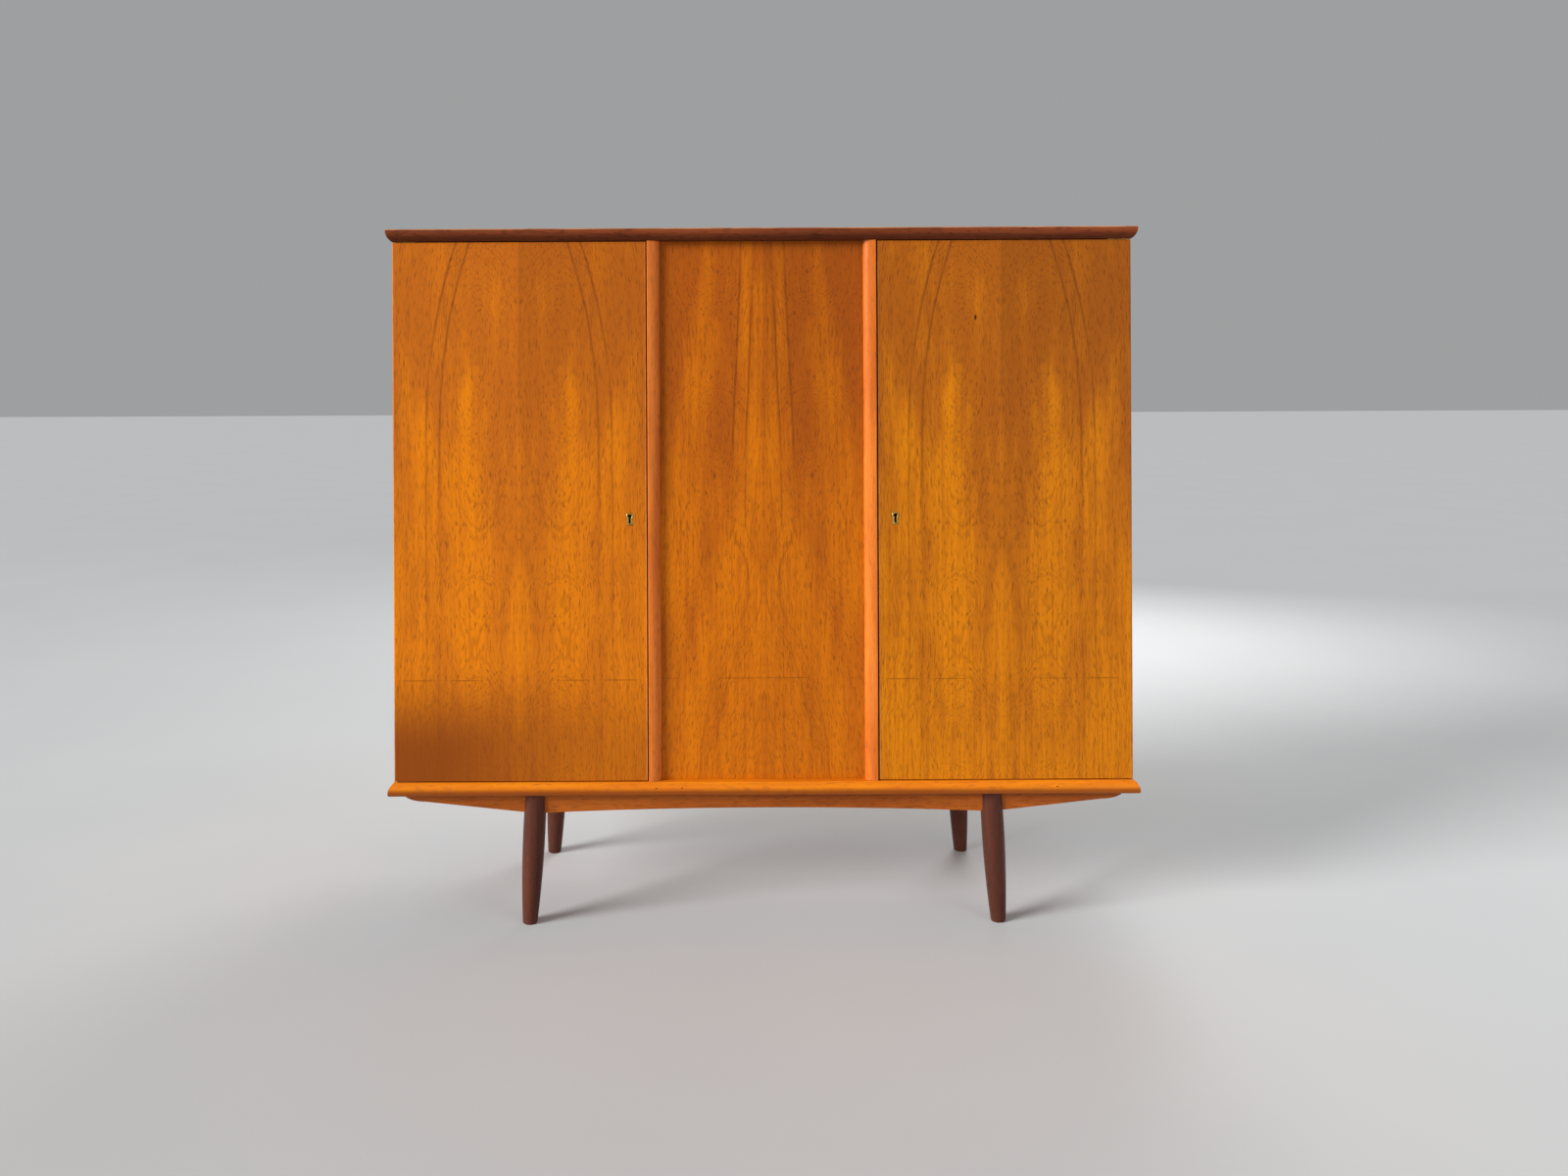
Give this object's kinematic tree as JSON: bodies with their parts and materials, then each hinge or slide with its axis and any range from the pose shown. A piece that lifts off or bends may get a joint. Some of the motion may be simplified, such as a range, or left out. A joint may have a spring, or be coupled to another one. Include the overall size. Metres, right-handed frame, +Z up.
{
  "type": "wardrobe with doors",
  "caption": "Free-standing teak wardrobe: hinged outer doors, a fixed recessed middle panel between rounded posts, shelves and a hanging rail inside, on a shaped base with splayed tapered legs.",
  "frame": {"origin": "on the floor, under the middle of the top board", "axes": "+Z up, the front faces -Y, +X to the viewer's right"},
  "size_m": [1.65, 0.52, 1.531],
  "materials": {
    "teak_veneer": "satin oiled teak veneer, crown cut",
    "solid_teak": "satin oiled solid teak",
    "inside_wood": "pale satin inside veneer and beech",
    "back_ply": "plain plywood",
    "dark_leg": "dark stained wood, satin lacquer",
    "brass": "aged polished brass",
    "steel": "plain steel"
  },
  "bodies": {
    "carcass": {"back_left_leg": "dark_leg", "back_panel": "back_ply", "back_rail": "solid_teak", "back_right_leg": "dark_leg", "centre_panel": "teak_veneer", "front_left_leg": "dark_leg", "front_rail": "solid_teak", "front_right_leg": "dark_leg", "hanging_rail": "inside_wood", "left_bottom_case_leaf": "brass", "left_bottom_hinge_pin": "steel", "left_cross_rail": "inside_wood", "left_door_stop": "solid_teak", "left_post": "solid_teak", "left_rail_socket": "brass", "left_side_panel": "teak_veneer", "left_strike_plate": "brass", "left_top_case_leaf": "brass", "left_top_hinge_pin": "steel", "lower_shelf": "inside_wood", "lower_shelf_pin_1": "brass", "lower_shelf_pin_2": "brass", "lower_shelf_pin_3": "brass", "lower_shelf_pin_4": "brass", "middle_shelf": "inside_wood", "middle_shelf_pin_1": "brass", "middle_shelf_pin_2": "brass", "middle_shelf_pin_3": "brass", "middle_shelf_pin_4": "brass", "partition": "inside_wood", "right_bottom_case_leaf": "brass", "right_bottom_hinge_pin": "steel", "right_cross_rail": "inside_wood", "right_door_stop": "solid_teak", "right_post": "solid_teak", "right_rail_socket": "brass", "right_side_panel": "teak_veneer", "right_strike_plate": "brass", "right_top_case_leaf": "brass", "right_top_hinge_pin": "steel", "sill_board": "solid_teak", "top_board": "solid_teak", "upper_shelf": "inside_wood", "upper_shelf_pin_1": "brass", "upper_shelf_pin_2": "brass", "upper_shelf_pin_3": "brass", "upper_shelf_pin_4": "brass"},
    "left_door": {"left_door": "teak_veneer", "left_escutcheon": "brass", "left_lock_case": "steel", "left_bottom_door_leaf": "brass", "left_top_door_leaf": "brass"},
    "right_door": {"right_door": "teak_veneer", "right_escutcheon": "brass", "right_lock_case": "steel", "right_bottom_door_leaf": "brass", "right_top_door_leaf": "brass"},
    "left_lock_bolt": {"left_lock_bolt": "brass"},
    "right_lock_bolt": {"right_lock_bolt": "brass"}
  },
  "joints": [
    {"name": "left_door_hinge", "type": "hinge", "parent": "carcass", "child": "left_door", "pos_m": [-0.807, -0.237, 0.314], "axis": [0, 0, -1], "range_deg": [0, 170]},
    {"name": "right_door_hinge", "type": "hinge", "parent": "carcass", "child": "right_door", "pos_m": [0.807, -0.237, 0.314], "axis": [0, 0, 1], "range_deg": [0, 170]},
    {"name": "left_bolt_slide", "type": "slide", "parent": "left_door", "child": "left_lock_bolt", "axis": [1, 0, 0], "range_m": [0, 0.008]},
    {"name": "right_bolt_slide", "type": "slide", "parent": "right_door", "child": "right_lock_bolt", "axis": [-1, 0, 0], "range_m": [0, 0.008]}
  ]
}
